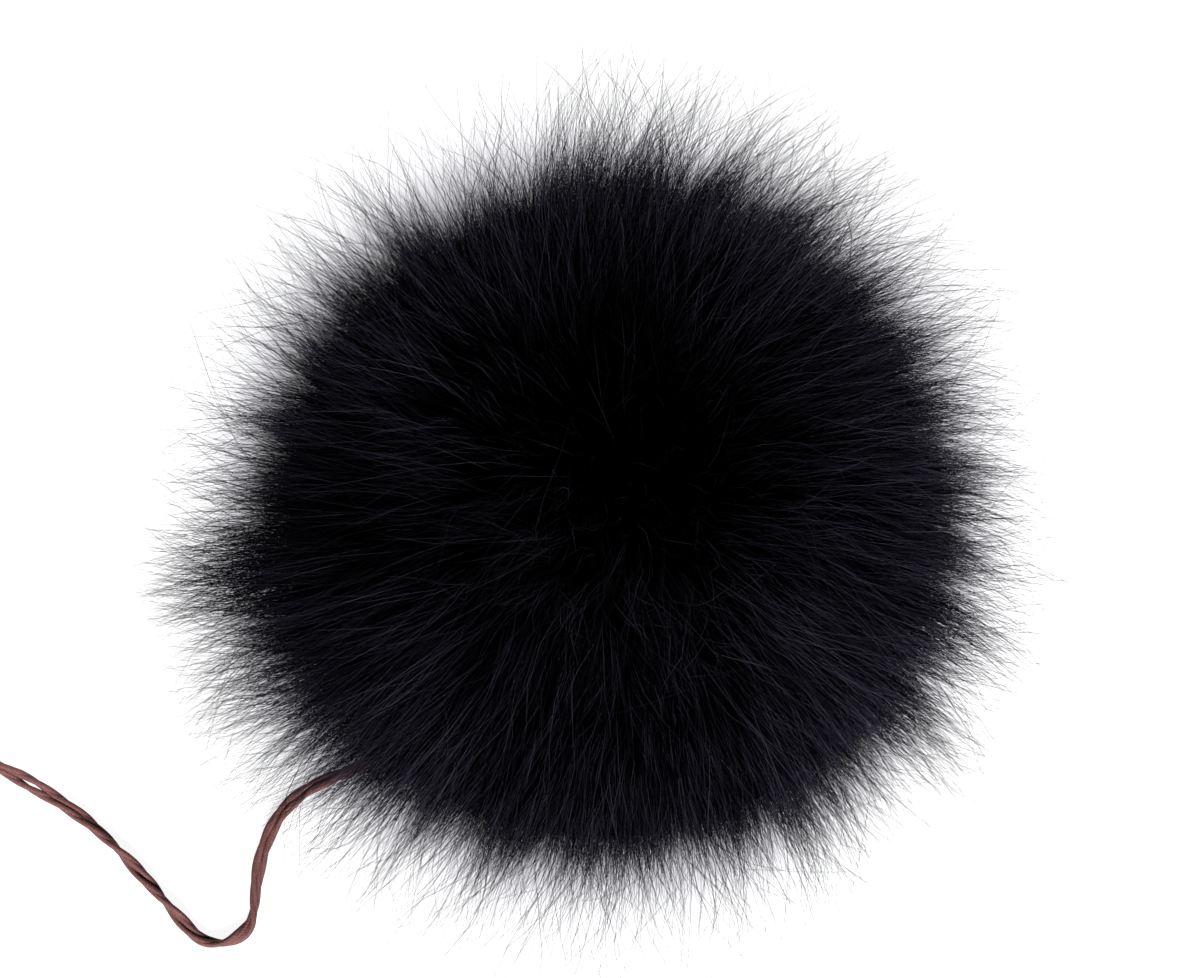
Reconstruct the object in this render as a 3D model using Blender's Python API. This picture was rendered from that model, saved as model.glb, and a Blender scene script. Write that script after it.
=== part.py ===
"""A ball of black fur with a tie of two twisted strands, lying on a surface.

Metres, +Z up. The origin is the middle of the flat spot on which the ball rests, and +Y is the
far side of the ball when its tie lies at the left front.
"""

import math
import random

import bmesh
import bpy
from mathutils import Vector

MM = 0.001
UP = Vector((0, 0, 1))

# The ball's backing, where the fur is thick enough to hide what is behind it.
BACKING_RADIUS = 42.5 * MM
CENTRE_HEIGHT = 40.5 * MM  # less than the radius, because the pile below carries the weight
FLAT_SPOT_RISE = 1.0 * MM  # points of the backing up to this height are pressed flat
CELLS_PER_SIDE = 7  # a cube of 7 x 7 cells a side is rounded into a ball, with a lock on each cell
CELL_SHIFT = 1.5 * MM  # how far the cells' corners are moved, so that they make no pattern
LOWEST_ROOT = 2.5 * MM  # the backing lies too low below this for a lock to stand on it
SEED = 7

# The locks. Seen from above they sweep clockwise round the ball.
ROOT_GAP = 0.4 * MM  # between a lock's root and the edge of its cell
SWIRL = math.tan(math.radians(21))
STRAY = 0.20  # how far a lock's tip strays sideways, against its length
REACH_SPREAD = 0.05
BEND_SHARE = 0.45  # a lock leaves the backing straight for this share of its length
FLOOR_SHARE = 0.85  # a lock that meets the surface is this much shorter
FLOOR_GAP = 0.25 * MM  # under the rings of a lock that lies along the surface

# How far the tips reach from the ball's middle, by direction seen from above.
TIP_REACH_COLUMNS = ("direction in degrees, anticlockwise from +X", "reach in mm")
TIP_REACH = (
    (0, 56.5),
    (45, 55.5),
    (75, 55.5),
    (105, 52.5),
    (150, 53.5),
    (180, 58.0),
    (200, 60.5),
    (225, 56.5),
    (255, 53.0),
    (300, 52.5),
    (330, 55.5),
    (360, 56.5),
)

LOCK_RING_COLUMNS = ("share of the lock's length", "width against its root")
LOCK_RINGS = ((0.34, 0.74), (0.69, 0.42))

# The tie: two strands side by side, twisted.
STRAND_RADIUS = 0.56 * MM
STRAND_OFFSET = 0.54 * MM  # from the tie's middle to a strand's
STRAND_POINTS = 5
TIE_RADIUS = STRAND_RADIUS + STRAND_OFFSET
TIE_TURN = 10.0 * MM  # one full turn of the pair
TIE_STEP = 0.8 * MM
TIE_HEIGHT = TIE_RADIUS + 0.1 * MM  # of its middle, where it lies on the surface
PIECE_GAP = 0.3 * MM
LOCK_CLEARANCE = 0.6 * MM

# Where the tie leaves the backing, as seen from the ball's middle.
EXIT_DIRECTION = 225.5  # degrees, anticlockwise from +X
EXIT_DOWN = 42.0  # degrees below level
EXIT_STRAIGHT = 5.0 * MM

# The tie's middle where it shows, along the surface, in mm.
TIE_ROUTE_COLUMNS = ("x", "y", "height above where it lies")
TIE_ROUTE = (
    (-29.9, -30.7, 4.4),
    (-33.5, -33.6, 1.9),
    (-37.2, -35.3, 0.4),
    (-40.9, -37.2, 0.0),
    (-44.1, -40.2, 0.0),
    (-46.2, -44.3, 0.0),
    (-47.3, -48.6, 0.0),
    (-47.9, -54.0, 0.0),
    (-49.1, -56.3, 0.0),
    (-51.2, -57.7, 0.0),
    (-53.7, -57.8, 0.0),
    (-56.0, -56.6, 0.0),
    (-59.2, -53.1, 0.0),
    (-62.4, -49.4, 0.0),
    (-66.3, -45.2, 0.0),
    (-70.4, -41.4, 0.0),
    (-74.9, -38.2, 0.0),
    (-79.6, -35.4, 0.0),
    (-84.4, -32.9, 0.0),
    (-88.0, -31.1, 0.0),
)

# The knot at the tie's end: two rounds of a ring, woven as in an overhand knot. Its ways in and
# out are measured from the ring's middle, in mm.
KNOT_RING_RADIUS = 2.8 * MM
KNOT_WEAVE_RADIUS = 1.22 * MM
KNOT_POINTS = 24
KNOT_WAY_COLUMNS = ("along the tie", "sideways, towards the tie's own line", "up")
KNOT_WAY_IN = ((-5.5, 6.4, -1.22), (-3.9, 6.4, -1.22), (-2.1, 5.95, 0.2), (-0.1, 4.4, 1.32))
KNOT_WAY_OUT = ((0.1, 4.4, -1.22), (2.1, 5.95, -1.22), (5.5, 6.7, -1.22), (9.0, 8.0, -1.22))

MATERIALS_COLUMNS = ("name", "colour", "roughness")
FUR = ("black_fur", (0.010, 0.009, 0.012, 1), 0.62)
CORD = ("brown_cord", (0.16, 0.055, 0.050, 1), 0.75)


def principled(name, colour, roughness):
    """A plain Principled material."""
    material = bpy.data.materials.new(name)
    material.use_nodes = True
    shader = material.node_tree.nodes["Principled BSDF"]
    shader.inputs["Base Color"].default_value = colour
    shader.inputs["Roughness"].default_value = roughness
    shader.inputs["Metallic"].default_value = 0.0
    material.diffuse_color = colour
    return material


def between(table, value):
    """The table's second column at this value of its first, on straight lines between its rows."""
    for (low, first), (high, last) in zip(table, table[1:]):
        if value <= high:
            return first + (last - first) * (value - low) / (high - low)
    return table[-1][1]


def smooth_route(points, step):
    """Points a step apart on a smooth curve through these points (Catmull-Rom)."""
    ends = [2 * points[0] - points[1], *points, 2 * points[-1] - points[-2]]
    fine = []
    for a, b, c, d in zip(ends, ends[1:], ends[2:], ends[3:]):
        for k in range(40):
            t = k / 40
            fine.append(
                0.5 * (2 * b + (c - a) * t + (2 * a - 5 * b + 4 * c - d) * t * t)
                + 0.5 * (3 * b - 3 * c + d - a) * t**3
            )
    fine.append(points[-1])
    length = sum((b - a).length for a, b in zip(fine, fine[1:]))
    count = round(length / step)
    route, walked, due = [fine[0]], 0.0, length / count
    for a, b in zip(fine, fine[1:]):
        piece = (b - a).length
        while walked + piece >= due and len(route) < count:
            route.append(a.lerp(b, (due - walked) / piece))
            due += length / count
        walked += piece
    route.append(fine[-1])
    return route


def tie_points():
    """The route's own points: straight out of the backing, then down and along the surface."""
    around, down = math.radians(EXIT_DIRECTION), math.radians(EXIT_DOWN)
    out = Vector((math.cos(around) * math.cos(down), math.sin(around) * math.cos(down), -math.sin(down)))
    start = CENTRE_HEIGHT * UP + (BACKING_RADIUS + PIECE_GAP) * out
    laid = [Vector((x * MM, y * MM, TIE_HEIGHT + rise * MM)) for x, y, rise in TIE_ROUTE]
    return [start, start + EXIT_STRAIGHT * out, *laid]


def knot_points(tie_end, along):
    """An overhand knot: in from the tie's end, two rounds of a woven ring, and out to the tail."""
    side = Vector((along.y, -along.x, 0))
    forward, sideways, up = KNOT_WAY_IN[0]
    middle = tie_end - (along * forward + side * sideways + UP * up) * MM
    ring = []
    for k in range(1, KNOT_POINTS):
        turn = 2 * math.pi * k / KNOT_POINTS
        radius = KNOT_RING_RADIUS + KNOT_WEAVE_RADIUS * math.cos(3 * turn)
        height = KNOT_WEAVE_RADIUS * math.sin(3 * turn)
        ring.append([radius * math.sin(2 * turn), radius * math.cos(2 * turn), height])
    ring[0][2], ring[-1][2] = KNOT_WEAVE_RADIUS, -KNOT_WEAVE_RADIUS
    ways = [[[c * MM for c in row] for row in way] for way in (KNOT_WAY_IN, KNOT_WAY_OUT)]
    places = ways[0] + ring + ways[1]
    return [middle + along * f + side * s + UP * u for f, s, u in places]


def strand_pair_section(collection):
    """The outline of two strands side by side, as the section of the tie."""
    spread = math.radians(118)
    angles = [spread * (2 * k / (STRAND_POINTS - 1) - 1) for k in range(STRAND_POINTS)]
    curve = bpy.data.curves.new("tie_section", "CURVE")
    curve.dimensions = "2D"
    spline = curve.splines.new("POLY")
    spline.points.add(2 * STRAND_POINTS - 1)
    for k, point in enumerate(spline.points):
        half = -1 if k >= STRAND_POINTS else 1
        angle = angles[k % STRAND_POINTS]
        x = half * (STRAND_OFFSET + STRAND_RADIUS * math.cos(angle))
        y = -half * STRAND_RADIUS * math.sin(angle)
        point.co = (x, y, 0, 1)
    spline.use_cyclic_u = True
    section = bpy.data.objects.new("tie_section", curve)
    section.hide_render = True
    section.display_type = "WIRE"
    collection.objects.link(section)
    return section


def twisted_pair(name, route, first_turn, section, collection, material):
    """The section swept along the route while it turns, with filled ends."""
    curve = bpy.data.curves.new(name, "CURVE")
    curve.dimensions = "3D"
    curve.twist_mode = "Z_UP"
    curve.bevel_mode = "OBJECT"
    curve.bevel_object = section
    curve.use_fill_caps = True
    curve.resolution_u = 1
    spline = curve.splines.new("POLY")
    spline.points.add(len(route) - 1)
    walked = 0.0
    for k, (point, place) in enumerate(zip(spline.points, route)):
        walked += (place - route[k - 1]).length if k else 0.0
        point.co = (*place, 1)
        point.tilt = 2 * math.pi * (first_turn + walked / TIE_TURN)
    curve.materials.append(material)
    pair = bpy.data.objects.new(name, curve)
    collection.objects.link(pair)
    return pair, first_turn + walked / TIE_TURN


def rounded_cells(rng):
    """A cube of cells rounded into the backing, its cells of even size and its bottom flat."""
    bm = bmesh.new()
    bmesh.ops.create_cube(bm, size=2)
    bmesh.ops.subdivide_edges(bm, edges=bm.edges[:], cuts=CELLS_PER_SIDE - 1, use_grid_fill=True)
    for vert in bm.verts:
        even = Vector([math.tan(math.pi / 4 * c) for c in vert.co])
        shift = Vector([rng.uniform(-1, 1) for _ in range(3)]) * CELL_SHIFT
        vert.co = (even.normalized() * BACKING_RADIUS + shift).normalized() * BACKING_RADIUS
        vert.co.z += CENTRE_HEIGHT
        if vert.co.z < FLAT_SPOT_RISE:
            vert.co.z = 0.0
    bmesh.ops.recalc_face_normals(bm, faces=bm.faces[:])
    return bm


def lock_line(root, normal, rng):
    """The bend and the tip of the lock that grows from this root."""
    direction = math.degrees(math.atan2(normal.y, normal.x)) % 360
    level = math.hypot(normal.x, normal.y)
    reach = between(TIP_REACH, direction) * MM * level + TIP_REACH[0][1] * MM * (1 - level)
    length = reach * (1 + REACH_SPREAD * rng.uniform(-1, 1)) - BACKING_RADIUS
    stray = Vector([rng.uniform(-1, 1) for _ in range(3)]) * STRAY
    way = (normal + normal.cross(UP) * SWIRL + stray).normalized()
    bend = root + normal * length * BEND_SHARE
    tip = root + way * length
    if tip.z < 0:
        outward = Vector((way.x, way.y, 0)).normalized()
        tip = root + outward * math.sqrt(length**2 - min(root.z, length) ** 2) * FLOOR_SHARE
        tip.z = 0.0
        bend = root + (normal + outward) * length * BEND_SHARE / 2
        bend.z = max(bend.z, root.z / 2)
    return bend, tip


def grow_lock(bm, face, bend, tip):
    """Draws the face out along a bent line, narrower at each ring, to a point."""
    root, normal = face.calc_center_median(), face.normal.copy()
    offsets = [vert.co - root for vert in face.verts]
    for share, width in LOCK_RINGS:
        face = bmesh.ops.extrude_discrete_faces(bm, faces=[face])["faces"][0]
        middle = root.lerp(bend, share).lerp(bend.lerp(tip, share), share)
        heading = bend.lerp(tip, share) - root.lerp(bend, share)
        turn = normal.rotation_difference(heading)
        ring = [turn @ offset * width for offset in offsets]
        depth = -min(offset.z for offset in ring)
        room = max(middle.z - FLOOR_GAP, 0.3 * MM)
        middle.z = max(middle.z, FLOOR_GAP + room)
        for vert, offset in zip(face.verts, ring):
            offset.z *= min(1.0, room / depth)
            vert.co = middle + offset
    face = bmesh.ops.extrude_discrete_faces(bm, faces=[face])["faces"][0]
    bmesh.ops.pointmerge(bm, verts=face.verts[:], merge_co=tip)


def near_tie(root, bend, tip, width, route):
    """Whether a lock on this line would come too close to the tie."""
    for k in range(9):
        share = k / 8
        place = root.lerp(bend, share).lerp(bend.lerp(tip, share), share)
        room = TIE_RADIUS + LOCK_CLEARANCE + width * (1 - 0.9 * share)
        if min((place - point).length for point in route) < room:
            return True
    return False


def make_fur_ball(route, collection, material):
    """The backing with a lock on each cell, but for the flat spot and the tie's way out."""
    rng = random.Random(SEED)
    bm = rounded_cells(rng)
    cells = [face for face in bm.faces if max(vert.co.z for vert in face.verts) > 0]
    bmesh.ops.inset_individual(bm, faces=cells, thickness=ROOT_GAP, use_even_offset=True)
    for vert in bm.verts:
        vert.co.z = max(vert.co.z, 0.0)
    bm.normal_update()
    cells = [face for face in cells if face.calc_center_median().z > LOWEST_ROOT]
    lines = [lock_line(face.calc_center_median(), face.normal.copy(), rng) for face in cells]
    for face, (bend, tip) in zip(cells, lines):
        root = face.calc_center_median()
        width = max((vert.co - root).length for vert in face.verts)
        if not near_tie(root, bend, tip, width, route):
            grow_lock(bm, face, bend, tip)
    mesh = bpy.data.meshes.new("fur_ball")
    bm.to_mesh(mesh)
    bm.free()
    mesh.materials.append(material)
    mesh.shade_smooth()
    mesh.set_sharp_from_angle(angle=math.radians(50))
    collection.objects.link(bpy.data.objects.new("fur_ball", mesh))


def new_collection(name):
    collection = bpy.data.collections.new(name)
    bpy.context.scene.collection.children.link(collection)
    return collection


def main():
    for obj in list(bpy.data.objects):
        bpy.data.objects.remove(obj)
    parts = new_collection("fur_pom_pom")
    guides = new_collection("guides")
    fur, cord = principled(*FUR), principled(*CORD)

    points = tie_points()
    route = smooth_route(points, TIE_STEP)
    make_fur_ball(route, parts, fur)

    section = strand_pair_section(guides)
    _, turns = twisted_pair("tie_cord", route, 0.0, section, parts, cord)
    along = (points[-1] - points[-2]).normalized()
    knot = knot_points(points[-1] + along * PIECE_GAP, along)
    twisted_pair("tie_knot", smooth_route(knot, TIE_STEP), turns, section, parts, cord)


main()
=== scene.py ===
"""The looks of the fur pom pom and its twisted tie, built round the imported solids. Metres, +Z up."""

import math

import bpy
import numpy as np
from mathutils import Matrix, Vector, noise
from mathutils.kdtree import KDTree


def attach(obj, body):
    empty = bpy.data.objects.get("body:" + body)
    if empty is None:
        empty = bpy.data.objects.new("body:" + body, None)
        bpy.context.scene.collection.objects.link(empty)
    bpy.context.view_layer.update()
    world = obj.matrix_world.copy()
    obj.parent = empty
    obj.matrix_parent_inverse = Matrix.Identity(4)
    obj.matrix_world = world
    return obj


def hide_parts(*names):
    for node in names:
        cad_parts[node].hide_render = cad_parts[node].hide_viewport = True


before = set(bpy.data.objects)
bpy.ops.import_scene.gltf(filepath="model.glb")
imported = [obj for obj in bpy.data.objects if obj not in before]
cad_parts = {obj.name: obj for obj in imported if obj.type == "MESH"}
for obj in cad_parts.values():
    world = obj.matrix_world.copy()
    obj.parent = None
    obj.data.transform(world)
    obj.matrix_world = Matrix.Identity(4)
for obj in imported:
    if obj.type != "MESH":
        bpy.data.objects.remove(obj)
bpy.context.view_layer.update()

MM = 0.001

# The camera looks straight down. The picture is PICTURE_WIDTH across where the floor is.
PICTURE_MIDDLE = (-0.39 * MM, 4.29 * MM)
PICTURE_WIDTH = 164.6 * MM
CAMERA_HEIGHT = 0.8
SENSOR = 36.0

# The light tent: height as a share of the way from the horizon to overhead, brightness
TENT = ((0.0, 1.0), (0.09, 1.0), (0.16, 0.25), (0.50, 0.04), (1.0, 0.01))
# The soft lamps, which all point at LAMP_AIM: name, place, size, power
LAMPS = (
    ("lamp_back", (0.44, 0.70, 0.66), 0.40, 19.0),
    ("lamp_front", (-0.04, -0.80, 0.70), 0.40, 26.0),
)
LAMP_AIM = (0.0, 0.0, 0.04)

# The floor glows evenly as a light table does, with a painted shadow under the fur: mm from the ball's
# middle, light
FLOOR_SHADE = ((0, 0.02), (43, 0.03), (46, 0.07), (50, 0.46), (54, 0.80), (61, 0.96), (75, 1.0))
SHADE_TINT = (-0.08, -0.10, 0.08)  # how much of each colour the shade adds or takes
FLOOR_GLOW = 0.93
FLOOR_GREY = 0.25
FLOOR_SIZE = 12.0

# The ball. From here on all lengths are in mm, and the middle is that of the part's source.
CENTRE = np.array([0.0, 0.0, 40.5])
FUR_CENTRE = CENTRE + [0.6, 0.3, 0.0]  # the fur is a little thicker on the right and at the back
BACKING_RADIUS = 40.3
BACKING_WAVES = 0.9  # how far the backing swells and sinks
BACKING_WAVES_SCALE = 9.0
BACKING_RAGS = 0.9  # how far its single points stand out of line
BACKING_FOOT = 0.15  # it is pressed flat this far above the floor
ROOT_RADIUS = 40.0
ROOT_DEPTH = 2.4  # a strand's pointed root lies this far under that

# The tie's route: its points are those of the part's source.
EXIT_DIRECTION = 225.5
EXIT_DOWN = 42.0
EXIT_STRAIGHT = 5.0
CAD_BACKING_RADIUS = 42.5
PIECE_GAP = 0.3
TIE_RADIUS = 1.1
TIE_HEIGHT = TIE_RADIUS + 0.1
TIE_ROUTE = (
    (-29.9, -30.7, 4.4),
    (-33.5, -33.6, 1.9),
    (-37.2, -35.3, 0.4),
    (-40.9, -37.2, 0.0),
    (-44.1, -40.2, 0.0),
    (-46.2, -44.3, 0.0),
    (-47.3, -48.6, 0.0),
    (-47.9, -54.0, 0.0),
    (-49.1, -56.3, 0.0),
    (-51.2, -57.7, 0.0),
    (-53.7, -57.8, 0.0),
    (-56.0, -56.6, 0.0),
    (-59.2, -53.1, 0.0),
    (-62.4, -49.4, 0.0),
    (-66.3, -45.2, 0.0),
    (-70.4, -41.4, 0.0),
    (-74.9, -38.2, 0.0),
    (-79.6, -35.4, 0.0),
    (-84.4, -32.9, 0.0),
    (-88.0, -31.1, 0.0),
)
KNOT_RING_RADIUS = 2.8
KNOT_WEAVE_RADIUS = 1.22
KNOT_POINTS = 24
KNOT_WAY_IN = ((-5.5, 6.4, -1.22), (-3.9, 6.4, -1.22), (-2.1, 5.95, 0.2), (-0.1, 4.4, 1.32))
KNOT_WAY_OUT = ((0.1, 4.4, -1.22), (2.1, 5.95, -1.22), (5.5, 6.7, -1.22), (9.0, 8.0, -1.22))

# The tie's yarn: two strands of two plies each.
TWINE_STEP = 0.30
STRAND_APART = 0.42
PLY_RADIUS = 0.40
PLY_UNEVEN = 0.05  # how much its thickness changes, and how fast (more is faster)
PLY_UNEVEN_SCALE = 0.9
PLY_APART = 0.17
PLY_SIDES = 12
PLY_TURN = 10.0  # one full turn of a strand's plies
PLY_LAG = 0.07  # the second strand's plies are this share of a turn behind
FIBRES_ROUND = 4  # fibre marks round a ply, FIBRE_PITCH apart along it
FIBRE_PITCH = 0.48
# Where the two strands have turned so far round each other: mm from the fur, turns
TWIST = (
    (0, 0.0), (14, 0.25), (24, 0.42), (34, 0.50), (40, 0.56), (45, 0.75), (48.5, 1.0), (52, 1.25),
    (57.5, 1.5), (62.6, 1.75), (67, 2.0), (72, 2.25), (78, 2.42), (85, 2.5), (91, 2.6), (98, 2.78),
)
TWIST_SOFTENED = 9  # points over which the twist is evened out
KNOT_TURN = 12.0
GAP_PLACE = 86.7  # the strands part here and leave a slit
GAP_LENGTH = 2.8
GAP_OPENS = 0.19
FRAY_LENGTH = 3.0
FRAY_OPENS = 1.2
CURVE_STEPS = 40  # between two points of a route

# The fur's layers. A strand's tip lies at least "nearest" from the ball's middle, "spread" more on
# average and at most "farthest", before its place and its tuft change its length. "poles" is how dense
# the layer is at the ball's top and foot against its girth. "comb" lays a strand down away from the
# ball's top, "gather" draws it towards its tuft's middle, and "stray" turns it aside. "follow" is how
# much its length keeps to LENGTH_BY_DIRECTION.
FUR_COLUMNS = ("name", "pieces", "count", "steps", "nearest", "spread", "farthest", "poles",
               "thickness", "comb", "gather", "stray", "curl", "follow", "darkest", "lightest")
FUR_LAYERS = (
    ("down", 2, 18000, 2, 42.8, 2.6, 50.0, 0.98, 0.084, 0.10, 0.22, 0.32, 0.4, 1.0, 0.00, 0.54),
    ("pile", 2, 9500, 3, 44.8, 2.6, 60.0, 0.97, 0.078, 0.20, 0.42, 0.25, 1.6, 1.0, 0.05, 0.74),
    ("guard", 3, 7600, 4, 45.9, 5.9, 70.0, 0.93, 0.060, 0.75, 0.32, 0.27, 1.7, 1.0, 0.15, 1.00),
    ("stray", 1, 2300, 6, 54.0, 13.0, 76.0, 0.60, 0.078, 0.30, 0.00, 0.42, 3.6, 0.4, 0.05, 0.80),
)
GIRTH_FADES = (0.40, 0.75)  # heights of the unit ball between which the girth passes into the poles
GIRTH_THICKNESS = 1.08  # a strand's thickness at the girth, against the layer's
UNDERSIDE = -0.62  # below this height of the unit ball the strands are fewer
UNDERSIDE_THINNED = 3  # so many times fewer
ROOT_CHOICE = 3  # so many places are drawn for each strand that is kept
ROOT_JITTER = 0.9  # how unevenly the places are spread
LONG_FUR = 19.5  # longer strands than this are drawn in, to LONGEST_EXTRA more at most
LONGEST_EXTRA = 5.9
BEND_TOWARDS_WAY = 0.35  # how far a strand leans its own way at its bend
BEND_SHARES = (0.35, 0.55)  # the bend lies between these shares of its length
CURL_LENGTH = 12.0  # strands of this length curl as much as their layer says
CURL_TURN = 1.5 * math.pi  # how far the curl's wave runs from root to tip
FLOOR_LAYERS = (0.12, 1.3)  # strands on the floor lie at least so high, and so much more at their tips
FLOOR_SPREAD = 0.55  # how far the floor pushes a strand outward, against how deep it would reach into it
STRAND_FOOT = 0.05  # no strand comes nearer to the floor than this
TIP_TAPER = (0.72, 1.5)  # share of the thickness that is lost at the tip, and how late
THICKNESS_RANGE = (0.7, 1.25)  # the strands' thickness, against the layer's
THICKNESS_BY_TONE = (0.88, 0.18)  # that of the darkest strand, and how much more the lightest one has
STRAND_ON_MAP = 0.02  # a strand's width on the map

# The strands stand in tufts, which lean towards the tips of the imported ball's locks.
TUFTS = 1400
TUFT_JITTER = 1.0  # how unevenly the tufts are spread
LOCK_PULL = 2.2
TUFT_STRAY = 0.12
TUFT_LENGTHS = 0.22  # how much the tufts differ in length
LOCK_LENGTHS = 0.26  # how much all tufts of one lock differ from those of another
LOWEST_LOCK_TIP = 45.0  # from the ball's middle

# Fur and tie meet only in the box between these corners.
NEAR_TIE = ((-60.0, -60.0, 0.0), (-16.0, -16.0, 20.0))
TIE_CLEARANCE = 0.15
POINTS_AT_A_TIME = 4000

# Painted shade and highlight on the upper half of the unit ball, where the fur's tones are made darker or
# lighter: x, y, size, change. The first is painted shade over the crown, the second a painted highlight, the
# third painted shade on the left.
PAINTED_SHADE_AND_HIGHLIGHT = ((0.10, 0.28, 0.38, -0.84), (0.36, 0.60, 0.30, 0.35), (-0.71, 0.0, 0.30, -0.42))
PATCH_SHOWN = 0.22  # this share of the strands changes only half as much

# The fur parts at the crown, which lies off the ball's top, and leans away from it. The lean falls
# off towards the rim, where the fur turns aside by this many degrees (anticlockwise is positive).
CROWN_LEAN = (-0.09, -0.27)
CROWN_LEAN_AT_RIM = 0.25
RIM_TURN = (
    (0, -7), (30, -17), (60, -16), (90, -18), (120, -10), (150, -3), (180, -3), (210, -12),
    (240, -13), (270, -12), (300, -3), (330, 3), (360, -7),
)
# How long the fur is in each direction (degrees, share of its mean length): measured in the photo, and
# then set right by trial
LENGTH_BY_DIRECTION = (
    (0, 1.28), (15, 1.04), (30, 1.13), (45, 0.96), (60, 0.94), (75, 1.20), (90, 0.80), (105, 0.77),
    (120, 0.72), (135, 0.66), (150, 0.73), (165, 0.84), (180, 1.09), (195, 1.52), (210, 1.21),
    (225, 1.37), (240, 0.77), (255, 0.83), (270, 0.71), (285, 0.67), (300, 0.84), (315, 1.12),
    (330, 1.08), (345, 1.17), (360, 1.28),
)
# How these set in over the unit ball, from 0 to 1 along a straight line: its slope and offset
TURN_SETS_IN = (1.6, -0.6)  # the turn aside, by the distance from the ball's axis
LENGTH_SETS_IN = (1.5, -0.4)  # the length by direction, likewise
COMB_SETS_IN = (1.6, 0.35)  # the combing, by height

SEED = 271828
rng = np.random.default_rng(SEED)


# ---------------------------------------------------------------- small helpers

def unit(v):
    return v / np.maximum(np.linalg.norm(v, axis=-1, keepdims=True), 1e-12)


def clipped_rise(value, slope, offset):
    """A straight rise that is kept between 0 and 1."""
    return np.clip(value * slope + offset, 0, 1)


def distance_along(points):
    return np.r_[0, np.cumsum(np.linalg.norm(np.diff(points, axis=0), axis=1))]


def smooth_route(points, step):
    """Points a step apart on a smooth curve through these points (Catmull-Rom)."""
    p = np.array(points, float)
    ends = np.vstack([2 * p[0] - p[1], p, 2 * p[-1] - p[-2]])
    t = np.linspace(0, 1, CURVE_STEPS, endpoint=False)[:, None]
    fine = [
        0.5 * (2 * b + (c - a) * t + (2 * a - 5 * b + 4 * c - d) * t**2 + (3 * b - 3 * c + d - a) * t**3)
        for a, b, c, d in zip(ends, ends[1:], ends[2:], ends[3:])
    ]
    fine = np.vstack([*fine, p[-1:]])
    walked = distance_along(fine)
    due = np.linspace(0, walked[-1], round(walked[-1] / step) + 1)
    return np.stack([np.interp(due, walked, fine[:, k]) for k in range(3)], axis=1)


def mesh_object(name, points, quads, triangles, material, uv, uv_name):
    """A smooth mesh from points in mm. uv holds a pair for each corner, quads first."""
    mesh = bpy.data.meshes.new(name)
    mesh.vertices.add(len(points))
    mesh.vertices.foreach_set("co", (np.asarray(points) * MM).astype(np.float32).ravel())
    corners = np.concatenate([np.ravel(quads), np.ravel(triangles)]).astype(np.int32)
    starts = np.concatenate([np.arange(len(quads)) * 4, len(quads) * 4 + np.arange(len(triangles)) * 3])
    mesh.loops.add(len(corners))
    mesh.loops.foreach_set("vertex_index", corners)
    mesh.polygons.add(len(starts))
    mesh.polygons.foreach_set("loop_start", starts.astype(np.int32))
    layer = mesh.uv_layers.new(name=uv_name)
    layer.data.foreach_set("uv", np.asarray(uv, np.float32).ravel())
    mesh.update(calc_edges=True)
    mesh.validate()
    mesh.shade_smooth()
    mesh.materials.append(material)
    obj = bpy.data.objects.new(name, mesh)
    bpy.context.scene.collection.objects.link(obj)
    return obj


# ---------------------------------------------------------------- materials

def set_stops(color_ramp, stops):
    """Gives a ramp these stops, from left to right: place, colour."""
    elements = color_ramp.elements
    while len(elements) < len(stops):
        elements.new(0.5)
    for element, (place, colour) in zip(elements, stops):
        element.position = place
        element.color = (*colour, 1)


class Nodes:
    """Short forms for building a material's node tree."""

    def __init__(self, name):
        self.material = bpy.data.materials.new(name)
        self.material.use_nodes = True
        self.tree = self.material.node_tree
        self.shader = self.tree.nodes["Principled BSDF"]

    def add(self, kind, links=(), **settings):
        node = self.tree.nodes.new(kind)
        for key, value in settings.items():
            if hasattr(node, key):
                setattr(node, key, value)
            else:
                node.inputs[key].default_value = value
        for socket, source in dict(links).items():
            self.tree.links.new(source, node.inputs[socket])
        return node

    def ramp(self, source, stops):
        node = self.add("ShaderNodeValToRGB", {"Fac": source})
        set_stops(node.color_ramp, stops)
        return node.outputs["Color"]

    def times(self, a, b):
        node = self.add("ShaderNodeMix", data_type="RGBA", blend_type="MULTIPLY")
        node.inputs[0].default_value = 1.0
        self.tree.links.new(a, node.inputs[6])
        self.tree.links.new(b, node.inputs[7])
        return node.outputs[2]

    def into(self, socket, source):
        self.tree.links.new(source, self.shader.inputs[socket])


def fur_material():
    """Black hair: each strand has its own tone along u, and v runs from its root to its tip. Its shine is
    off, and painted highlights and shade stand in for it.
    """
    m = Nodes("fur_black")
    uv = m.add("ShaderNodeUVMap", uv_map="OFBake")
    split = m.add("ShaderNodeSeparateXYZ", {"Vector": uv.outputs["UV"]})
    # The strands' own tones, which differ at random. With the shine off, the lightest of them also stand in
    # for strands that catch the light, as painted highlights.
    tone = m.ramp(split.outputs["X"], (
        (0.0, (0.0000, 0.0000, 0.0000)),
        (0.30, (0.0002, 0.0002, 0.0003)),
        (0.50, (0.0064, 0.0057, 0.0087)),
        (0.70, (0.0163, 0.0145, 0.0218)),
        (0.85, (0.0272, 0.0244, 0.0360)),
        (1.0, (0.0520, 0.0470, 0.0662)),
    ))
    # Painted highlight and shade along each strand: lightest a little past its middle, darker towards its
    # root and its tip.
    along = m.ramp(split.outputs["Y"], (
        (0.0, (0.30,) * 3),
        (0.35, (1.00,) * 3),
        (0.60, (1.25,) * 3),
        (1.0, (0.30,) * 3),
    ))
    m.into("Base Color", m.times(tone, along))
    m.shader.inputs["Roughness"].default_value = 0.6
    m.shader.inputs["Specular IOR Level"].default_value = 0.0
    return m.material


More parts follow.
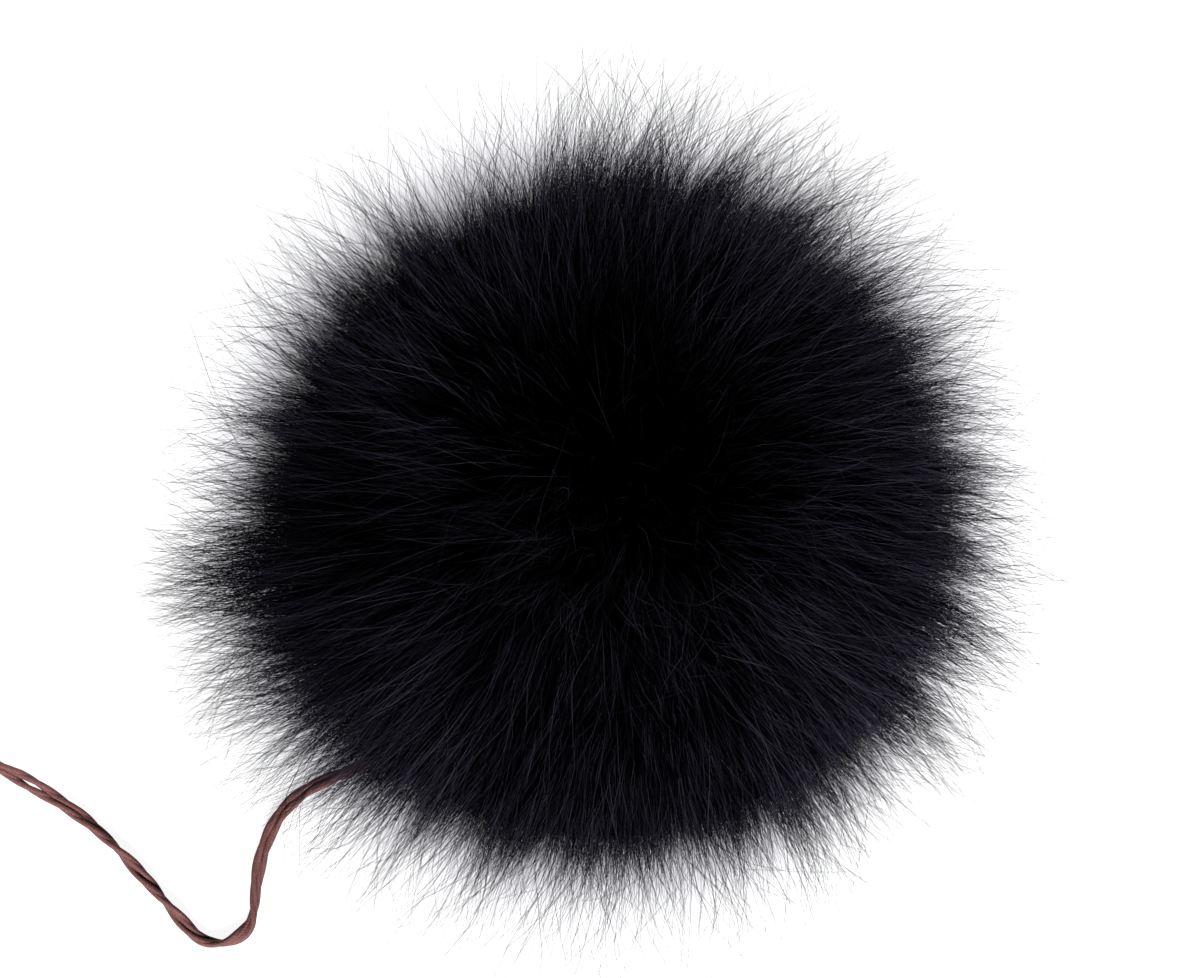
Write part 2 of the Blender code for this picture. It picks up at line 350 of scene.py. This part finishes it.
def backing_material():
    """The dark underfur at the strands' feet."""
    m = Nodes("fur_depth")
    noise_map = m.add("ShaderNodeTexNoise", Scale=900.0, Detail=3.0)
    m.into("Base Color", m.ramp(noise_map.outputs["Fac"], (
        (0.3, (0.0000, 0.0000, 0.0000)),
        (0.7, (0.0003, 0.0002, 0.0004)),
    )))
    bump = m.add("ShaderNodeBump", {"Height": noise_map.outputs["Fac"]}, Strength=0.6, Distance=0.0006)
    m.into("Normal", bump.outputs["Normal"])
    m.shader.inputs["Roughness"].default_value = 1.0
    m.shader.inputs["Specular IOR Level"].default_value = 0.0
    return m.material


def twine_material():
    """Reddish brown yarn.

    The map's u counts the fibre marks that run aslant round a ply, and v runs along the ply in mm.
    """
    m = Nodes("twine_brown")
    uv = m.add("ShaderNodeUVMap", uv_map="twine")
    split = m.add("ShaderNodeSeparateXYZ", {"Vector": uv.outputs["UV"]})
    place = m.add("ShaderNodeTexCoord")
    blotches = m.add("ShaderNodeTexNoise", {"Vector": place.outputs["Object"]}, Scale=700.0, Detail=3.0)
    lint = m.add("ShaderNodeTexNoise", {"Vector": place.outputs["Object"]}, Scale=4500.0, Detail=4.0)
    wander = m.add("ShaderNodeMath", {0: blotches.outputs["Fac"]}, operation="MULTIPLY")
    wander.inputs[1].default_value = 0.9
    marks = m.add("ShaderNodeMath", {0: split.outputs["X"], 1: wander.outputs[0]}, operation="ADD")
    mark = m.add("ShaderNodeMath", {0: marks.outputs[0]}, operation="FRACT")
    # The fibre marks: the grooves between them are darkened as painted shade, and the same ramp gives their
    # bump.
    groove = m.ramp(mark.outputs[0], (
        (0.0, (0.78,) * 3),
        (0.30, (0.98,) * 3),
        (0.55, (1.10,) * 3),
        (0.80, (0.96,) * 3),
        (1.0, (0.78,) * 3),
    ))
    yarn = m.ramp(lint.outputs["Fac"], (
        (0.30, (0.108, 0.036, 0.034)),
        (0.50, (0.122, 0.046, 0.043)),
        (0.72, (0.175, 0.079, 0.074)),
    ))
    faded = m.ramp(blotches.outputs["Fac"], ((0.3, (0.90,) * 3), (0.7, (1.10,) * 3)))
    m.into("Base Color", m.times(m.times(yarn, groove), faded))
    bump = m.add("ShaderNodeBump", {"Height": groove}, Strength=0.6, Distance=0.00010)
    m.into("Normal", bump.outputs["Normal"])
    m.shader.inputs["Roughness"].default_value = 0.65
    m.shader.inputs["Specular IOR Level"].default_value = 0.22
    return m.material


def floor_material():
    """White that glows evenly, darkened round the ball's middle by the painted shadow of FLOOR_SHADE."""
    m = Nodes("floor_white")
    place = m.add("ShaderNodeTexCoord")
    away = m.add("ShaderNodeVectorMath", {"Vector": place.outputs["Object"]}, operation="LENGTH")
    reach = FLOOR_SHADE[-1][0]
    share = m.add("ShaderNodeMath", {0: away.outputs["Value"]}, operation="MULTIPLY", use_clamp=True)
    share.inputs[1].default_value = 1 / (reach * MM)
    # The emission carries the painted shadow under the fur.
    m.into("Emission Color", m.ramp(share.outputs[0], [
        (distance / reach, tuple(light * (1 + tint * (1 - light)) for tint in SHADE_TINT))
        for distance, light in FLOOR_SHADE
    ]))
    m.shader.inputs["Base Color"].default_value = (FLOOR_GREY, FLOOR_GREY, FLOOR_GREY, 1)
    m.shader.inputs["Roughness"].default_value = 1.0
    m.shader.inputs["Specular IOR Level"].default_value = 0.0
    m.shader.inputs["Emission Strength"].default_value = FLOOR_GLOW
    return m.material


# ---------------------------------------------------------------- camera, floor and light

def make_stage():
    scene = bpy.context.scene
    camera = bpy.data.objects.new("camera", bpy.data.cameras.new("camera"))
    camera.location = (*PICTURE_MIDDLE, CAMERA_HEIGHT)
    camera.data.sensor_width = SENSOR
    camera.data.lens = SENSOR * CAMERA_HEIGHT / PICTURE_WIDTH
    camera.data.clip_start = 0.01
    camera.data.clip_end = 20
    scene.collection.objects.link(camera)
    scene.camera = camera

    bpy.ops.mesh.primitive_plane_add(size=FLOOR_SIZE, location=(0, 0, 0))
    floor = bpy.context.object
    floor.name = "floor"
    floor.data.materials.append(floor_material())

    make_light(scene)
    scene.view_settings.view_transform = "Standard"


def make_light(scene):
    """A light tent, bright at its foot and dark overhead, and the soft lamps."""
    world = bpy.data.worlds.new("studio")
    world.use_nodes = True
    tree = world.node_tree
    direction = tree.nodes.new("ShaderNodeTexCoord")
    split = tree.nodes.new("ShaderNodeSeparateXYZ")
    colours = tree.nodes.new("ShaderNodeValToRGB")
    tree.links.new(direction.outputs["Generated"], split.inputs["Vector"])
    tree.links.new(split.outputs["Z"], colours.inputs["Fac"])
    tree.links.new(colours.outputs["Color"], tree.nodes["Background"].inputs["Color"])
    set_stops(colours.color_ramp, [(height, (light,) * 3) for height, light in TENT])
    for name, place, size, power in LAMPS:
        lamp = bpy.data.objects.new(name, bpy.data.lights.new(name, "AREA"))
        lamp.data.size = size
        lamp.data.energy = power
        lamp.location = place
        lamp.rotation_mode = "QUATERNION"
        lamp.rotation_quaternion = (Vector(LAMP_AIM) - Vector(place)).to_track_quat("-Z", "Y")
        scene.collection.objects.link(lamp)


# ---------------------------------------------------------------- the tie

def tie_points():
    around = math.radians(EXIT_DIRECTION)
    down = math.radians(EXIT_DOWN)
    out = np.array([math.cos(around) * math.cos(down), math.sin(around) * math.cos(down), -math.sin(down)])
    start = CENTRE + (CAD_BACKING_RADIUS + PIECE_GAP) * out
    laid = [(x, y, TIE_HEIGHT + rise) for x, y, rise in TIE_ROUTE]
    return np.array([start, start + EXIT_STRAIGHT * out, *laid])


def knot_points(tie_end, along):
    side = np.array([along[1], -along[0], 0])
    up = np.array([0, 0, 1.0])
    forward, sideways, rise = KNOT_WAY_IN[0]
    middle = tie_end - (along * forward + side * sideways + up * rise)
    ring = []
    for k in range(1, KNOT_POINTS):
        turn = 2 * math.pi * k / KNOT_POINTS
        radius = KNOT_RING_RADIUS + KNOT_WEAVE_RADIUS * math.cos(3 * turn)
        height = KNOT_WEAVE_RADIUS * math.sin(3 * turn)
        ring.append([radius * math.sin(2 * turn), radius * math.cos(2 * turn), height])
    ring[0][2] = KNOT_WEAVE_RADIUS
    ring[-1][2] = -KNOT_WEAVE_RADIUS
    return [middle + along * f + side * s + up * u for f, s, u in (*KNOT_WAY_IN, *ring, *KNOT_WAY_OUT)]


def level_frame(route):
    """Two directions across a route, the first level and the second upward."""
    along = unit(np.gradient(route, axis=0))
    side = unit(np.cross(along, [0, 0, 1.0]))
    return side, np.cross(side, along)


def strand_line(route, turns, strand, opened):
    """The middle of one of the two strands, which wind round the route and are moved apart."""
    side, up = level_frame(route)
    turn = 2 * math.pi * (turns + strand / 2)[:, None]
    return route + side * np.cos(turn) * (STRAND_APART + opened)[:, None] + up * np.sin(turn) * STRAND_APART


def ply_rings(line, side, radius):
    """Rings of points round a ply's middle."""
    heading = unit(np.gradient(line, axis=0))
    across = unit(side - heading * np.sum(side * heading, axis=1, keepdims=True))
    third = np.cross(heading, across)
    turn = (2 * math.pi * np.arange(PLY_SIDES) / PLY_SIDES)[None, :, None]
    spokes = across[:, None] * np.cos(turn) + third[:, None] * np.sin(turn)
    return line[:, None] + radius[:, None, None] * spokes


def ply_faces(n, base):
    """A ply's quads, from ring to ring, and the triangles that close its ends."""
    i, j = np.meshgrid(np.arange(n - 1), np.arange(PLY_SIDES), indexing="ij")
    k = (j + 1) % PLY_SIDES
    first = base + i * PLY_SIDES
    quads = np.stack([first + k, first + PLY_SIDES + k, first + PLY_SIDES + j, first + j], -1)
    triangles = []
    start_point = base + n * PLY_SIDES
    last_ring = base + (n - 1) * PLY_SIDES
    for centre, edge, pair in ((start_point, base, (0, 1)), (start_point + 1, last_ring, (1, 0))):
        for side in range(PLY_SIDES):
            triangles.append((centre, *(edge + (side + c) % PLY_SIDES for c in pair)))
    return quads.reshape(-1, 4), triangles


def ply_map(walked):
    """The map's pairs at the corners of a ply's quads: fibre marks round it, mm along it."""
    n = len(walked)
    around = np.arange(PLY_SIDES + 1) / PLY_SIDES * FIBRES_ROUND
    i, j = np.meshgrid(np.arange(n - 1), np.arange(PLY_SIDES), indexing="ij")
    corners = [
        np.stack([around[j + b] - walked[i + a] / FIBRE_PITCH, walked[i + a]], -1)
        for a, b in ((0, 1), (1, 1), (1, 0), (0, 0))
    ]
    return np.stack(corners, -2).reshape(-1, 2)


def plied_cord(name, route, turns, ply_turns, opened, frayed, material):
    """Two strands of two plies each, wound round the route.

    opened moves the strands apart, and frayed the plies.
    """
    side, up = level_frame(route)
    walked = distance_along(route)
    points, quads, triangles, uv, uv_ends = [], [], [], [], []
    for strand in (0, 1):
        middle = strand_line(route, turns, strand, opened)
        for ply in (0, 1):
            turn = 2 * math.pi * (ply_turns + strand * PLY_LAG + ply / 2)[:, None]
            line = middle + (side * np.cos(turn) + up * np.sin(turn)) * (PLY_APART * frayed)[:, None]
            uneven = np.array([noise.noise((w * PLY_UNEVEN_SCALE, strand * 7.0, ply * 5.0)) for w in walked])
            ring = ply_rings(line, side, PLY_RADIUS * (1 + PLY_UNEVEN * uneven) / np.sqrt(frayed))
            ply_quads, ply_ends = ply_faces(len(route), sum(map(len, points)))
            points.append(np.concatenate([ring.reshape(-1, 3), line[:1], line[-1:]]))
            quads.append(ply_quads)
            triangles += ply_ends
            uv.append(ply_map(walked))
            uv_ends.append(np.zeros((3 * len(ply_ends), 2)))  # the end faces are too small for marks
    return mesh_object(name, np.concatenate(points), np.concatenate(quads), np.array(triangles),
                       material, np.concatenate(uv + uv_ends), "twine")


def make_tie(material):
    points = tie_points()
    route = smooth_route(points, TWINE_STEP)
    walked = distance_along(route)
    turns = np.interp(walked, *np.array(TWIST, float).T)
    turns = np.pad(turns, TWIST_SOFTENED // 2, mode="reflect", reflect_type="odd")
    turns = np.convolve(turns, np.ones(TWIST_SOFTENED) / TWIST_SOFTENED, mode="valid")
    ply_turns = (walked - GAP_PLACE) / PLY_TURN + 0.25  # at the slit the plies lie one on the other
    opened = GAP_OPENS * np.exp(-((walked - GAP_PLACE) / GAP_LENGTH) ** 2)
    tie = plied_cord("tie_twine", route, turns, ply_turns, opened, np.ones(len(route)), material)
    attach(tie, "root")
    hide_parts("tie_cord")

    along = unit(points[-1] - points[-2])
    knot_route = smooth_route(knot_points(points[-1] + along * PIECE_GAP, along), TWINE_STEP)
    knot_walked = distance_along(knot_route)
    frayed = 1 + FRAY_OPENS * np.clip((knot_walked - knot_walked[-1]) / FRAY_LENGTH + 1, 0, 1)
    knot = plied_cord("tie_end_knot", knot_route, turns[-1] + knot_walked / KNOT_TURN,
                      ply_turns[-1] + knot_walked / PLY_TURN, np.zeros(len(knot_route)), frayed, material)
    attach(knot, "root")
    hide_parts("tie_knot")
    return route


# ---------------------------------------------------------------- the fur

def lock_tips():
    """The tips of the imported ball's locks, read from its mesh: the points that no edge leads out from."""
    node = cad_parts["fur_ball"]
    co = np.array([v.co for v in node.data.vertices]) / MM - CENTRE
    _, first, index = np.unique(np.round(co, 3), axis=0, return_index=True, return_inverse=True)
    co = co[first]
    index = index.ravel()
    reach = np.linalg.norm(co, axis=1)
    leads_out = np.zeros(len(co), bool)
    for edge in node.data.edges:
        a, b = sorted((index[edge.vertices[0]], index[edge.vertices[1]]), key=lambda point: reach[point])
        if a != b:
            leads_out[a] = True
    return co[~leads_out & (reach > LOWEST_LOCK_TIP)]


def sphere_points(count, jitter):
    """Directions spread evenly over a ball, each moved a little."""
    k = np.arange(count) + 0.5
    z = 1 - 2 * k / count
    around = k * math.pi * (3 - math.sqrt(5))
    flat = np.sqrt(1 - z * z)
    even = np.stack([flat * np.cos(around), flat * np.sin(around), z], axis=1)
    return unit(even + rng.normal(size=even.shape) * jitter / math.sqrt(count))


def nearest(points, centres):
    """For each point the number of the nearest centre."""
    tree = KDTree(len(centres))
    for k, centre in enumerate(centres):
        tree.insert(centre, k)
    tree.balance()
    return np.array([tree.find(p)[1] for p in points])


def by_direction(table, direction):
    around = np.degrees(np.arctan2(direction[:, 1], direction[:, 0])) % 360
    return np.interp(around, *np.array(table, float).T)


def flow(normal, comb):
    """The way in which fur rooted at this place of the unit ball runs, before its own stray."""
    level = np.hypot(normal[:, 0], normal[:, 1])
    round_about = np.stack([-normal[:, 1], normal[:, 0], 0 * level], axis=1)
    turn = np.tan(np.radians(by_direction(RIM_TURN, normal))) * clipped_rise(level, *TURN_SETS_IN)
    lean = 1 - (1 - CROWN_LEAN_AT_RIM) * level**2
    lean = np.where(normal[:, 2] > 0, lean, CROWN_LEAN_AT_RIM)
    away = np.array([*CROWN_LEAN, 0.0])[None] * lean[:, None]
    down = normal * normal[:, 2:] - [0, 0, 1.0]
    laid = comb * clipped_rise(normal[:, 2:], *COMB_SETS_IN)
    return normal + round_about * turn[:, None] + away + down * laid


def fur_length(normal):
    """The fur's length at this place against its mean length, which it keeps near the ball's axis."""
    level = np.hypot(normal[:, 0], normal[:, 1])
    return 1 + (by_direction(LENGTH_BY_DIRECTION, normal) - 1) * clipped_rise(level, *LENGTH_SETS_IN)


def fur_roots(count, poles):
    """Directions of so many strands' roots, spread by the density round the girth and at the poles."""
    normal = sphere_points(ROOT_CHOICE * count, ROOT_JITTER)
    density = np.interp(np.abs(normal[:, 2]), GIRTH_FADES, (1.0, poles))
    density = np.where(normal[:, 2] < UNDERSIDE, density / UNDERSIDE_THINNED, density)
    order = rng.random(len(normal)) ** (1 / density)
    return normal[np.argsort(-order)[:count]]


def drawn_in(length):
    """Lengths with the longest ones drawn in."""
    over = np.maximum(length - LONG_FUR, 0)
    return length + LONGEST_EXTRA * (1 - np.exp(-over / LONGEST_EXTRA)) - over


def fur_strands(layer, tufts, route):
    """Points of each strand of a layer from its root to its tip.

    A strand is a curve from its root over a bend to its tip, and waves a little about it.
    """
    count = layer["count"]
    comb = layer["comb"]
    normal = fur_roots(count, layer["poles"])
    tuft = nearest(normal, tufts["normal"])
    middle = tufts["normal"][tuft]
    lean = tufts["lean"][tuft]
    way = unit(flow(normal, comb) + lean + rng.normal(size=normal.shape) * layer["stray"])
    farther = np.minimum(rng.exponential(layer["spread"], count), layer["farthest"] - layer["nearest"])
    length = layer["nearest"] + farther - ROOT_RADIUS
    length = drawn_in(length * fur_length(normal) ** layer["follow"] * tufts["length"][tuft])
    reach = (ROOT_RADIUS + length)[:, None]

    skin = normal * ROOT_RADIUS
    tip = unit(skin + way * length[:, None]) * reach
    tuft_tip = unit(middle * ROOT_RADIUS + unit(flow(middle, comb) + lean) * length[:, None]) * reach
    tip += (tuft_tip - tip) * layer["gather"]
    bend_at = (length * rng.uniform(*BEND_SHARES, count))[:, None]
    bend = skin + unit(normal + BEND_TOWARDS_WAY * way) * bend_at
    root = normal * (ROOT_RADIUS - ROOT_DEPTH)
    t = (np.arange(layer["steps"] + 1) / layer["steps"])[None, :, None]
    line = root[:, None] * (1 - t) ** 2 + bend[:, None] * 2 * t * (1 - t) + tip[:, None] * t**2

    wave = unit(np.cross(normal, rng.normal(size=normal.shape)))[:, None]
    phase = rng.random((count, 1, 1)) * 2 * math.pi
    size = layer["curl"] * (length / CURL_LENGTH)[:, None, None] * rng.random((count, 1, 1))
    line += wave * (np.sin(phase + t * CURL_TURN) - np.sin(phase)) * t * size
    line = lay_on_floor(line + FUR_CENTRE, t[..., 0])
    return keep_off_tie(line, route)


def lay_on_floor(line, t):
    """Lays strands that would reach into the floor down on it and pushes them outward."""
    lowest, more = FLOOR_LAYERS
    lay = lowest + rng.random((len(line), 1)) * more * t
    depth = np.maximum(lay - line[..., 2], 0)
    line += unit(line * [1, 1, 0]) * (depth * FLOOR_SPREAD)[..., None]
    line[..., 2] = np.maximum(line[..., 2], lay)
    return line


def keep_off_tie(line, route):
    """Moves the strands' points out of the tie."""
    clear = TIE_RADIUS + TIE_CLEARANCE
    low, high = NEAR_TIE
    near = np.all((line > low) & (line < high), axis=-1)
    some = line[near]
    for k in range(0, len(some), POINTS_AT_A_TIME):
        block = some[k:k + POINTS_AT_A_TIME]
        apart = block[:, None] - route[None, ::3]  # every third point of the route is near enough
        far = np.linalg.norm(apart, axis=2)
        closest = far.argmin(1)
        rows = np.arange(len(block))
        gap = far[rows, closest]
        push = np.where(gap < clear, clear - gap, 0)[:, None] * unit(apart[rows, closest])
        some[k:k + POINTS_AT_A_TIME] = block + push
    line[near] = some
    line[..., 2] = np.maximum(line[..., 2], STRAND_FOOT)
    return line


def strand_tones(normal, darkest, lightest):
    """Each strand's tone, from 0 to 1, into which the patches paint shade and highlight."""
    change = 0
    # Painted shade over the crown and on the left, and a painted highlight, darken or lighten the strands'
    # tones.
    for x, y, size, by in PAINTED_SHADE_AND_HIGHLIGHT:
        change = change + by * np.exp(-((normal[:, 0] - x) ** 2 + (normal[:, 1] - y) ** 2) / size**2)
    change = np.where(normal[:, 2] > 0, change, 0)
    change = change * np.where(rng.random(len(normal)) < PATCH_SHOWN, 0.5, 1)
    return np.minimum((darkest + (lightest - darkest) * rng.random(len(normal))) * (1 + change), 1)


def strand_radii(normal, tone, thickness, t):
    """Each strand's radius at the shares t of its length. Lighter ones are a little thicker."""
    loss, lateness = TIP_TAPER
    dark, more = THICKNESS_BY_TONE
    radius = thickness / 2 * (1 - loss * t**lateness) * (dark + more * tone[:, None])
    radius = radius * rng.uniform(*THICKNESS_RANGE, size=(len(normal), 1))
    return radius * np.interp(np.abs(normal[:, 2:]), GIRTH_FADES, (GIRTH_THICKNESS, 1))


def strand_mesh(name, line, thickness, tones, material):
    """Three-sided closed strands along these lines, pointed at both ends."""
    count = line.shape[0]
    rings = line.shape[1] - 2
    along = unit(np.gradient(line, axis=1))
    start = unit(np.cross(along[:, 0], rng.normal(size=(count, 3))))
    across = unit(start[:, None] - along * np.sum(start[:, None] * along, axis=2, keepdims=True))
    third = np.cross(along, across)
    t = np.arange(1, rings + 1) / (rings + 1)
    normal = unit(line[:, 0] - FUR_CENTRE)
    tone = strand_tones(normal, *tones)
    radius = strand_radii(normal, tone, thickness, t)
    turn = (2 * math.pi * np.arange(3) / 3)[:, None]
    spokes = across[:, 1:-1, None] * np.cos(turn) + third[:, 1:-1, None] * np.sin(turn)
    ring = line[:, 1:-1, None] + radius[:, :, None, None] * spokes
    points = np.concatenate([line[:, :1], ring.reshape(count, -1, 3), line[:, -1:]], axis=1).reshape(-1, 3)

    per = rings * 3 + 2
    last = 1 + (rings - 1) * 3
    i, j = np.meshgrid(np.arange(rings - 1), np.arange(3), indexing="ij")
    i = i.ravel()
    j = j.ravel()
    k = (j + 1) % 3
    quad = 1 + np.stack([i * 3 + j, i * 3 + k, i * 3 + 3 + k, i * 3 + 3 + j], -1)
    cone = [(last + a, last + (a + 1) % 3, per - 1) for a in range(3)]
    cone += [(1 + (a + 1) % 3, 1 + a, 0) for a in range(3)]
    base = (np.arange(count) * per)[:, None, None]
    quads = (quad[None] + base).reshape(-1, 4)
    cones = (np.array(cone)[None] + base).reshape(-1, 3)

    tone = tone[:, None, None]
    side = STRAND_ON_MAP / 3
    top = rings / (rings + 1)
    foot = 1 / (rings + 1)
    quad_u = tone + side * np.stack([j, j + 1, j + 1, j], -1)
    quad_v = np.broadcast_to(np.stack([i, i, i + 1, i + 1], -1) + 1.0, quad_u.shape) / (rings + 1)
    sides = [(a, a + 1, a + 0.5) for a in range(3)] + [(a + 1, a, a + 0.5) for a in range(3)]
    cone_u = tone + side * np.array(sides)
    cone_v = np.broadcast_to(np.array([(top, top, 1.0)] * 3 + [(foot, foot, 0.0)] * 3), cone_u.shape)
    maps = [np.stack(pair, -1).reshape(-1, 2) for pair in ((quad_u, quad_v), (cone_u, cone_v))]
    return mesh_object(name, points, quads, cones, material, np.concatenate(maps), "OFBake")


def make_tufts():
    """Where the tufts are, how they lean towards the locks' tips, and how long they are."""
    locks = unit(lock_tips())
    normal = sphere_points(TUFTS, TUFT_JITTER)
    lock = nearest(normal, locks)
    lean = (locks[lock] - normal) * LOCK_PULL + rng.normal(size=normal.shape) * TUFT_STRAY
    own = rng.normal(size=TUFTS) * TUFT_LENGTHS
    shared = rng.normal(size=len(locks)) * LOCK_LENGTHS
    return {"normal": normal, "lean": lean, "length": np.exp(own + shared[lock])}


def make_fur(route):
    tufts = make_tufts()
    material = fur_material()
    for row in FUR_LAYERS:
        layer = dict(zip(FUR_COLUMNS, row))
        for piece in range(1, layer["pieces"] + 1):
            line = fur_strands(layer, tufts, route)
            name = f"fur_{layer['name']}_{piece}"
            tones = (layer["darkest"], layer["lightest"])
            strands = strand_mesh(name, line, layer["thickness"], tones, material)
            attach(strands, "root")
            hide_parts("fur_ball")


def make_backing():
    bpy.ops.mesh.primitive_ico_sphere_add(subdivisions=6, radius=1, location=(0, 0, 0))
    ball = bpy.context.object
    ball.name = "fur_backing"
    co = np.array([v.co for v in ball.data.vertices])
    waves = np.array([noise.noise(v.co * BACKING_WAVES_SCALE) for v in ball.data.vertices])
    rags = rng.uniform(-1, 1, len(co))
    radius = BACKING_RADIUS + BACKING_WAVES * waves + BACKING_RAGS * rags
    place = unit(co) * radius[:, None] + CENTRE
    place[:, 2] = np.maximum(place[:, 2], BACKING_FOOT)
    ball.data.vertices.foreach_set("co", (place * MM).astype(np.float32).ravel())
    ball.data.update()
    ball.data.shade_smooth()
    ball.data.materials.append(backing_material())
    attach(ball, "root")
    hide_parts("fur_ball")


make_stage()
tie_route = make_tie(twine_material())
make_backing()
make_fur(tie_route)
